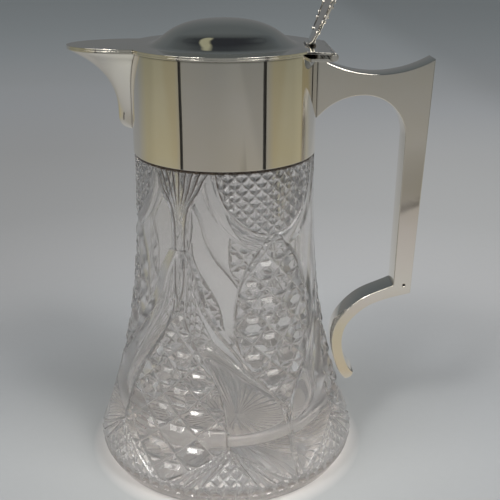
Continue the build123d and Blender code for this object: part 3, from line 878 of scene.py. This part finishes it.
def cut_sweep(depth, off_middle, height, per_degree, sweep):
    """The long sweep, one mitre that is broad above and slim below."""
    line = to_outline(off_middle, sweep, height, per_degree)
    broad = 1.2 + 1.7 * np.clip((height - 48) / 45, 0, 1)
    cut(depth, height < 118, mitre(line, broad, 0.35 * broad + 0.6))


print("blades of a fan:", 2 * blades_each_side)

# %% [markdown]
# ## Low oval and foot
#
# The low oval stands between the thirds and ends in a point at the foot. A
# plain hollow fills the room between it and the sweep. Round the foot go
# triangles of small diamonds with leaves between them, all of which widen
# downwards, so they are measured in shares of the height that is left.

# %% The low oval, the plain hollow and the leaves
leaf_top = 28.5
leaf_height = 19.0
leaf_foot = leaf_top - leaf_height
cutting_foot = 9.0


def cut_low_oval(depth, around, off_line, height, per_degree, low, in_fan):
    """Buttons in the low oval, up to the fan's stem."""
    rim = to_outline(off_line, low, height, per_degree)
    in_low = (off_line < low) & (height < 94) & ~in_fan
    cut(depth, in_low, buttons(around, height, per_degree))
    cut(depth, (height < 95) & (height > leaf_foot), mitre(rim, 1.3, 1.2))


def cut_plain_hollow(depth, off_middle, height, per_degree, sweep, low):
    """A broad shallow hollow between the sweep and the low oval."""
    far_edge = np.where(height > leaf_top, 60 - low, 30 * (height - leaf_foot) / leaf_height)
    span = far_edge - sweep
    inside = (off_middle > sweep) & (off_middle < far_edge) & (height < 117)
    share = (off_middle - sweep) / np.clip(span, 0.01, None)
    cut(depth, inside, hollow(share, np.clip(0.1 * span * per_degree, 0, 1.6)))


def cut_leaves(depth, turned, height, per_degree):
    """Triangles of small diamonds round the foot, with two leaves on each side."""
    under = np.clip(leaf_top - height, 0.05, None)
    side = np.abs((np.abs(turned) - 30) * leaf_height / under)
    in_zone = (height < leaf_top) & (height > cutting_foot)
    diamonds = small_diamonds(turned, height - cutting_foot, per_degree,
                              pitch=360 / notch_count, rise=6.0, half_width=1.3, depth=0.9)
    cut(depth, in_zone & (side < 13), diamonds)
    one_degree = under / leaf_height * per_degree
    for leaf_edge in (13, 21, 30):
        cut(depth, in_zone, mitre((side - leaf_edge) * one_degree, 1.0, 1.2))
    cut(depth, in_zone, hollow((side - 13) / 8, 0.8))
    cut(depth, in_zone, hollow((side - 21) / 9, 0.8))


print("leaves reach from", leaf_foot, "to", leaf_top, "mm")

# %% [markdown]
# ## All cuts together
#
# A point's place in its third and the outlines at its height are worked
# out once. Then the regions are ground one after another, as on the wheel.

# %% Depth of the cutting over the whole flare
def cutting(around, height):
    """Depth in mm of the cut pattern at angles and heights, both as grids."""
    per_degree = flare(height) * math.pi / 180
    turned = np.mod(around - first_axis + 60, 120) - 60
    off_middle = np.abs(turned)
    off_line = 60 - off_middle
    sweep = np.clip(curve(height, sweep_line), 0, 60)
    low_point = 29 * (height - leaf_foot) / leaf_height
    low = np.where(height > leaf_top, curve(height, low_oval), low_point)
    depth = np.zeros_like(off_middle)
    cut_panel(depth, turned, height, per_degree)
    in_fan = cut_fan(depth, off_line, height, per_degree)
    cut_tall_oval(depth, around, off_middle, height, per_degree, sweep)
    cut_sweep(depth, off_middle, height, per_degree, sweep)
    cut_low_oval(depth, around, off_line, height, per_degree, low, in_fan)
    cut_plain_hollow(depth, off_middle, height, per_degree, sweep, low)
    cut_leaves(depth, turned, height, per_degree)
    return depth


sample_angles = np.array([first_axis, first_axis + 8])
sample_heights = np.array([140.0, 85.0, 20.0])
sample = cutting(*np.meshgrid(sample_angles, sample_heights))
print("depths at three heights, mm:", sample.round(2).tolist())

# %% [markdown]
# ## Flare, foot and star
#
# The cut flare is a grid of points, each moved in by the depth of the
# cutting there. The foot is ringed with round notches, and the underside
# carries a star whose rays run from the middle almost to the standing
# ring. A profile turned round the axis gives the foot, and notches and
# rays are cut from it as from the flare.

# %% Grid of the cut flare
columns = 880
angles = np.arange(columns) * 360 / columns - 180
flare_heights = np.linspace(body_top, girth_height, 316)
grid_angle, grid_height = np.meshgrid(angles, flare_heights)
notch = np.abs(np.mod((angles - first_axis) * notch_count / 360, 1) - 0.5) * 2


def notches(height):
    """Depth of the round notches at a height, for every column."""
    fade = np.clip((12.0 - height) / 2.6, 0, 1) * np.clip((height - 6.2) / 1.3, 0, 1)
    return 1.5 * (1 - notch[None, :] ** 2) * np.sqrt(fade)


depth = np.maximum(cutting(grid_angle, grid_height), notches(grid_height[:, :1]))
flare_rings = flare(grid_height) - depth
between = (flare_heights[:-1] + flare_heights[1:]) / 2
mid_angle, mid_height = np.meshgrid(angles + 180 / columns, between)
mid_depth = cutting(mid_angle, mid_height)
print("deepest cut:", round(float(depth.max()), 2), "mm")

# %% Foot and star-cut underside
def arc_rings(start, middle, end, count):
    """Points on a gentle arc through three (radius, height) points, without its start."""
    t = np.linspace(0, 1, count + 1)[1:, None]
    start, middle, end = (np.array(p, float) for p in (start, middle, end))
    bend = 2 * middle - (start + end) / 2
    return (1 - t) ** 2 * start + 2 * t * (1 - t) * bend + t * t * end


dish_reach = 50
dish_rise = 1.2
ray_count = 44
foot = arc_rings((girth_radius, girth_height), (63.95, 6.05), (61.2, 1.2), 22)
toe = arc_rings((61.2, 1.2), (60.85, 0.35), (60.0, 0.0), 4)
star_reach = np.linspace(dish_reach, 1.5, 60)
dish = np.stack([star_reach, dish_rise * (1 - (star_reach / dish_reach) ** 2)], axis=1)
under_profile = np.concatenate([foot, toe, dish])
under_rings = np.repeat(under_profile[:, :1], columns, axis=1)
under_rings[:len(foot)] -= notches(foot[:, 1:2])
ray = np.abs(np.mod(angles * ray_count / 360, 1) - 0.5) * 2
half_ray = star_reach[:, None] * math.pi / ray_count
off_ray = (1 - ray[None, :]) * half_ray
long_rays = mitre(off_ray, half_ray, np.minimum(0.62 * half_ray, 1.8))
long_rays = long_rays * np.clip((dish_reach - star_reach[:, None]) / 3, 0, 1)
under_heights = np.repeat(under_profile[:, 1:], columns, axis=1)
under_heights[len(foot) + len(toe):] += long_rays
print("deepest ray:", round(float(long_rays.max()), 2), "mm")

# %% [markdown]
# ## The inside
#
# The inside of a blown vessel is smooth and round. The wall follows the
# flare at an even thickness, then one soft curve takes it to a small flat
# floor. Above it comes the ground neck, which sits in plaster.

# %% Smooth inside and neck
wall_thickness = 6.6
floor_height = 15.0
inside_heights = np.linspace(40, body_top, 46)
inside_reach = np.minimum(flare(inside_heights) - wall_thickness, 60)
inside_wall = np.stack([inside_reach, inside_heights], axis=1)
inside_wall[:, 0] -= 1.1 * np.clip((inside_heights - 120) / 35, 0, 1) ** 2
t = np.linspace(0, 1, 30)[:, None]
floor_edge, wall_foot = np.array([16.0, floor_height]), inside_wall[0]
corner_point = np.array([53.0, floor_height])
corner = (1 - t) ** 2 * floor_edge + 2 * t * (1 - t) * corner_point + t ** 2 * wall_foot
inside_floor = np.stack([np.linspace(4, 14, 4), np.full(4, floor_height)], axis=1)
neck = np.array([(34.0, 168.0), (34.0, 180.4), (34.6, 181.0), (39.3, 181.0), (40.1, 180.2),
                 (40.1, body_top)])
inner_profile = np.concatenate([inside_floor, corner, inside_wall[1:], neck])
print("rings inside and below:", len(inner_profile), len(under_profile))

# %% [markdown]
# ## Turning the rings into a mesh
#
# All rings have the same number of points, so the faces between them are
# a plain grid that closes on itself, with a fan of triangles at the two
# middles. On the flare each square is split along the corner line that
# lies closer to the true surface in its middle, so that a slanting groove
# keeps a straight bottom. Filling the mesh arrays in one go is far
# quicker than adding half a million faces one at a time.

# %% Closed mesh from stacked rings
def turned_mesh(name, radii, heights, bottom_of_inside, middle_of_dish, split_from, split_falling):
    """A closed mesh from rings of radii and heights in mm, with two end points on the axis.

    The rings from split_from on get triangles, split as split_falling says.
    """
    rows, count = radii.shape
    turn = np.radians(angles)
    points = np.empty((rows * count + 2, 3))
    points[:-2, 0] = (radii * np.cos(turn)).ravel()
    points[:-2, 1] = (radii * np.sin(turn)).ravel()
    points[:-2, 2] = heights.ravel()
    points[-2], points[-1] = (0, 0, bottom_of_inside), (0, 0, middle_of_dish)
    row, column = np.meshgrid(np.arange(rows - 1), np.arange(count), indexing="ij")
    after = (column + 1) % count
    corners = [row * count + column, (row + 1) * count + column,
               (row + 1) * count + after, row * count + after]
    split_to = split_from + len(split_falling)
    grid = np.stack(corners, axis=-1)
    quads = np.concatenate([grid[:split_from].reshape(-1, 4), grid[split_to:].reshape(-1, 4)])
    squares = grid[split_from:split_to].reshape(-1, 4)
    falling = split_falling.ravel()[:, None]
    one_side = np.where(falling, squares[:, [0, 1, 2]], squares[:, [0, 1, 3]])
    other_side = np.where(falling, squares[:, [0, 2, 3]], squares[:, [1, 2, 3]])
    halves = np.concatenate([one_side, other_side])
    one = np.arange(count)
    two = (one + 1) % count
    last = (rows - 1) * count
    first_fan = np.stack([np.full(count, rows * count), one, two], axis=1)
    last_fan = np.stack([last + one, np.full(count, rows * count + 1), last + two], axis=1)
    loops = np.concatenate([quads.ravel(), halves.ravel(), first_fan.ravel(), last_fan.ravel()])
    triangle_starts = quads.size + np.arange(len(halves) + 2 * count) * 3
    starts = np.concatenate([np.arange(len(quads)) * 4, triangle_starts])
    mesh = bpy.data.meshes.new(name)
    mesh.vertices.add(len(points))
    mesh.vertices.foreach_set("co", (points * MM).ravel())
    mesh.loops.add(len(loops))
    mesh.loops.foreach_set("vertex_index", loops.astype(np.int32))
    mesh.polygons.add(len(starts))
    mesh.polygons.foreach_set("loop_start", starts.astype(np.int32))
    mesh.update(calc_edges=True)
    mesh.validate()
    mesh.shade_smooth()
    return mesh


inner_rings = np.repeat(inner_profile[:, :1], columns, axis=1)
inner_heights = np.repeat(inner_profile[:, 1:], columns, axis=1)
all_radii = np.concatenate([inner_rings, flare_rings, under_rings])
all_heights = np.concatenate([inner_heights, grid_height, under_heights])
after = np.roll(depth, -1, axis=1)
falling_miss = np.abs((depth[:-1] + after[1:]) / 2 - mid_depth)
rising_miss = np.abs((depth[1:] + after[:-1]) / 2 - mid_depth)
cut_mesh = turned_mesh("cut_glass", all_radii, all_heights, floor_height, dish_rise,
                       len(inner_rings), falling_miss <= rising_miss)
cut_mesh.set_sharp_from_angle(angle=math.radians(28))
cut_glass = add_piece("cut_glass", cut_mesh, crystal)
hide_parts("glass_body")
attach(cut_glass, "jug_body")
print("cut glass faces:", len(cut_mesh.polygons))

# %% [markdown]
# ## The handle
#
# The real handle is a hollow square section made of two flat cheeks and
# two strips, soldered so cleanly that it looks like one bent bar. Its
# edges are rubbed round. The CAD keeps the four sheets, and here one
# seamless bar takes their place. A flat curve with a bevel makes exactly
# that: the outline of a cheek, given thickness, with rounded edges. Its
# end is run a little into the collar, so that no gap shows at the solder.

# %% Outline of a cheek, read from the frame
def flat_outlines(node, side):
    """Closed outlines of a flat face that looks along side times +Y, as lists of points."""
    bm = bmesh.new()
    bm.from_mesh(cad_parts[node].data)
    bmesh.ops.remove_doubles(bm, verts=bm.verts, dist=1e-6)
    reach = max(v.co.y * side for v in bm.verts)
    flat = {f for f in bm.faces
            if f.normal.y * side > 0.99 and all(v.co.y * side > reach - 1e-5 for v in f.verts)}
    rim = dict.fromkeys(e for e in bm.edges if len([f for f in e.link_faces if f in flat]) == 1)
    outlines = []
    while rim:
        edge = next(iter(rim))
        del rim[edge]
        start, here = edge.verts
        line = [start.co.copy(), here.co.copy()]
        while here is not start:
            edge = next(e for e in here.link_edges if e in rim)
            del rim[edge]
            here = edge.other_vert(here)
            line.append(here.co.copy())
        outlines.append(line[:-1])
    bm.free()
    return outlines


outer_side = 1 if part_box("handle_cheek_left")[0][1] > 0 else -1
cheek_lines = flat_outlines("handle_cheek_left", outer_side)
print("outlines of the cheek:", [len(line) for line in cheek_lines])

# %% One bar with rounded edges
def rounded_bar(name, outlines, half_width, edge):
    """A flat outline in XZ, given width along Y and rounded edges."""
    flat = bpy.data.curves.new(name, "CURVE")
    flat.dimensions = "2D"
    flat.fill_mode = "BOTH"
    flat.extrude = half_width - edge
    flat.bevel_depth = edge
    flat.bevel_resolution = 3
    flat.offset = -edge
    for line in outlines:
        spline = flat.splines.new("POLY")
        spline.points.add(len(line) - 1)
        for point, spot in zip(spline.points, line):
            point.co = (spot.x, spot.z, 0, 1)
        spline.use_cyclic_u = True
    holder = bpy.data.objects.new(name + "_curve", flat)
    mesh = bpy.data.meshes.new_from_object(holder)
    mesh.transform(Matrix.Rotation(math.radians(90), 4, "X"))
    bpy.data.objects.remove(holder)
    return mesh


collar_face = 0.0422
inside_collar = 0.0413
for line in cheek_lines:
    for spot in line:
        if spot.x < collar_face:
            spot.x = inside_collar
half_width = max(abs(corner[1]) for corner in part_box("handle_cheek_left"))
bar_mesh = rounded_bar("square_handle", cheek_lines, half_width, edge=0.0004)
bar_mesh.shade_smooth()
bar_mesh.set_sharp_from_angle(angle=math.radians(35))
handle = add_piece("square_handle", bar_mesh, silver)
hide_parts("handle_cheek_left", "handle_cheek_right",
            "handle_outer_strip", "handle_inner_strip")
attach(handle, "jug_body")
print("handle faces:", len(bar_mesh.polygons))

# %% [markdown]
# ## The thumbpiece
#
# The pierced fan is a casting that was filed thin, so seen from the front
# it is a slim bright line with dark piercings and small beads. The CAD fan
# is twice as thick, because thin sheet is awkward to build with. Its mesh
# is copied and drawn in to half the thickness. Turned beads go along its
# edges, and black borders, part tarnish and part painted shade, go round
# the piercings. A Solidify modifier could thin it too, but moving the two
# faces keeps every piercing exactly in its place.

# %% The plane of the fan
fan_height = 29
fan_half_thickness = 0.9
thin_half_thickness = 0.45
fan_lean = math.radians(22.7)
fan_faces = Vector((math.cos(fan_lean), 0, -math.sin(fan_lean)))
fan_up = Vector((math.sin(fan_lean), 0, math.cos(fan_lean)))
fan_points = [v.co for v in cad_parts["thumbpiece"].data.vertices]
fan_front = max(p.dot(fan_faces) for p in fan_points if p.z > 0.215)
fan_middle = fan_front - fan_half_thickness * MM
fan_foot = max(p.dot(fan_up) for p in fan_points) - fan_height * MM
print("middle of the fan lies", round(fan_middle / MM, 2), "mm along its facing")


def on_fan(sideways, height, out):
    """A point of the fan: mm sideways, mm up from its foot, mm out of its middle plane."""
    in_plane = fan_up * (fan_foot + height * MM) + Vector((0, sideways * MM, 0))
    return fan_faces * (fan_middle + out * MM) + in_plane


# %% The fan itself, filed thin
above_its_foot = 203.6 * MM


def filed_thin(bm, share):
    """Draw the two faces of the fan towards its middle plane."""
    for vertex in bm.verts:
        out = vertex.co.dot(fan_faces) - fan_middle
        if abs(out) < (fan_half_thickness + 0.03) * MM and vertex.co.z > above_its_foot:
            vertex.co -= fan_faces * out * (1 - share)


bm = bmesh.new()
bm.from_mesh(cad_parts["thumbpiece"].data)
filed_thin(bm, thin_half_thickness / fan_half_thickness)
plain_faces = len(bm.faces)
print("faces of the plain fan:", plain_faces)

# %% Beads and black borders of tarnish and painted shade
def add_bead(bm, middle, facing, radius):
    """A turned half bead on a face."""
    side = facing.cross(fan_up).normalized()
    rings = []
    for angle in (0, 18, 36, 54, 72):
        a = math.radians(angle)
        centre, reach = middle + facing * radius * math.sin(a), radius * math.cos(a)
        rings.append([bm.verts.new(centre + (side * math.cos(t) + fan_up * math.sin(t)) * reach)
                      for t in ring_angles(12)])
    ring_faces(bm, rings)
    bm.faces.new(rings[-1])


def add_border(bm, sideways, height, long_half, tilt, out):
    """A flat oval ring round a piercing, a hair above the face."""
    along, over = math.cos(tilt), math.sin(tilt)
    rings = []
    for wide, long in ((0.85, long_half + 0.05), (2.0, long_half + 0.9)):
        ring = []
        for t in ring_angles(28):
            x, z = wide * math.cos(t), long * math.sin(t)
            spot = on_fan(sideways + x * along - z * over, height + x * over + z * along, out)
            ring.append(bm.verts.new(spot))
        rings.append(ring)
    ring_faces(bm, rings)


def fan_half_width(height):
    """Half width of the fan in mm at a height up its slope."""
    return 5.0 + 9.0 * math.sin(height / 21.0 * math.pi / 2)


bead_heights = (6.6, 11.7, 14.2, 18.7, 21.0)
piercings = ((9.4, 3.6), (13.0, 1.9), (16.4, 3.2))
sunk = thin_half_thickness - 0.01
proud = thin_half_thickness + 0.02
for side in (-1, 1):
    for face in (-1, 1):
        for height in bead_heights:
            inset = fan_half_width(height) - 1.0
            add_bead(bm, on_fan(side * inset, height, face * sunk), fan_faces * face, 0.75 * MM)
bead_faces = len(bm.faces)
for side in (-1, 1):
    for face in (-1, 1):
        for height, long in piercings:
            run = fan_half_width(height + long / 2) - fan_half_width(height - long / 2)
            inset = fan_half_width(height) - 2.1
            tilt = -side * math.atan2(run, long)
            add_border(bm, side * inset, height, long / 2, tilt, face * proud)
bmesh.ops.recalc_face_normals(bm, faces=bm.faces[:])
fan_mesh = mesh_from(bm, "pierced_fan")
border_faces = len(fan_mesh.polygons) - bead_faces
print("faces of the beads:", bead_faces - plain_faces, "and of the borders:", border_faces)

# %% [markdown]
# ## Blackened silver
#
# Round the piercings lies a black rim, part tarnish and part painted shade
# that makes the piercings read dark. The borders are faces of their own,
# so a second material on the same mesh is all that it takes. Fine patches
# keep it from looking like paint.

# %% Two finishes on one fan
blackened, tree = new_finish("blackened_silver")
# Part tarnish, part painted shade round the piercings.
tarnish_and_shade = ramp(tree, patches(tree, object_place(tree), 900.0, 3.0),
            [(0.35, (0.022, 0.020, 0.020)), (0.75, (0.075, 0.065, 0.055))])
coat(tree, Base_Color=tarnish_and_shade, Metallic=0.6, Roughness=0.42)
fan = add_piece("pierced_fan", fan_mesh, silver, blackened)
for index, polygon in enumerate(fan_mesh.polygons):
    polygon.material_index = 1 if index >= bead_faces else 0
fan_mesh.shade_smooth()
fan_mesh.set_sharp_from_angle(angle=math.radians(35))
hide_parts("thumbpiece")
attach(fan, "lid_body")
print("finishes on the fan:", [finish.name for finish in fan_mesh.materials])

# %% [markdown]
# ## Finishes on the CAD parts
#
# The collar, spout, lid and hinge keep their CAD shape, because turned and
# raised sheet is exactly what the CAD describes. They only change finish.

# %% Silver on the mounts, plaster on the bed
other_finishes = {"neck_cement": plaster, "glass_body": crystal}
for name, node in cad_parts.items():
    for slot in node.material_slots:
        slot.material = other_finishes.get(name, silver)
print("finished nodes:", len(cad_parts))

# %% [markdown]
# ## Sizes and the last line
#
# Both boxes, the CAD model's and the dressed jug's, are printed side by
# side. The dressed jug has to stay inside the CAD model's box.

dressed_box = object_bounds()
for title, box in (("CAD box:", cad_box), ("dressed box:", dressed_box)):
    print(title, [[round(v / MM, 1) for v in c] for c in box])
